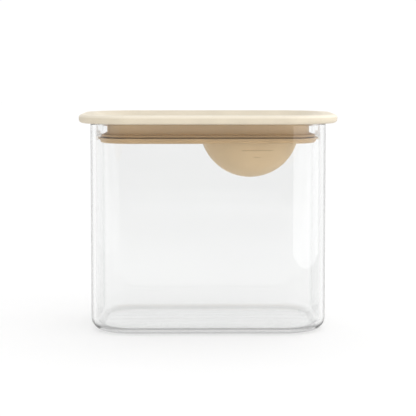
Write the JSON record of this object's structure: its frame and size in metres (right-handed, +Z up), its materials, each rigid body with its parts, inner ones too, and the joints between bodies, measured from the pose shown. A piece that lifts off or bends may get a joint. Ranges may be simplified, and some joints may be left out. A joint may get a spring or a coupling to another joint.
{
  "type": "lidded glass canister",
  "caption": "Rounded rectangular glass storage jar with a press-in lid, a flexible seal and a measuring scoop stored through the lid.",
  "frame": {"origin": "centre of the jar's underside, on the surface it stands on", "axes": "+Z up, +X along the jar's long side towards the scoop's bowl, -Y towards the front"},
  "size_m": [0.2504, 0.1664, 0.2098],
  "materials": {
    "clear_glass": "clear, polished",
    "sand_plastic": "matte with a fine speckle",
    "scoop_plastic": "matte",
    "sand_silicone": "soft satin"
  },
  "bodies": {
    "jar": {"glass_jar": "clear_glass"},
    "lid": {"lid_top": "sand_plastic", "lid_plug": "sand_plastic", "lid_seal": "sand_silicone", "scoop_gasket": "sand_silicone"},
    "scoop": {"scoop": "scoop_plastic"}
  },
  "joints": [
    {"name": "lid_lift", "type": "slide", "parent": "jar", "child": "lid", "axis": [0, 0, 1], "range_m": [0, 0.056]},
    {"name": "scoop_lift", "type": "slide", "parent": "lid", "child": "scoop", "axis": [0, 0, 1], "range_m": [0, 0.064]}
  ]
}
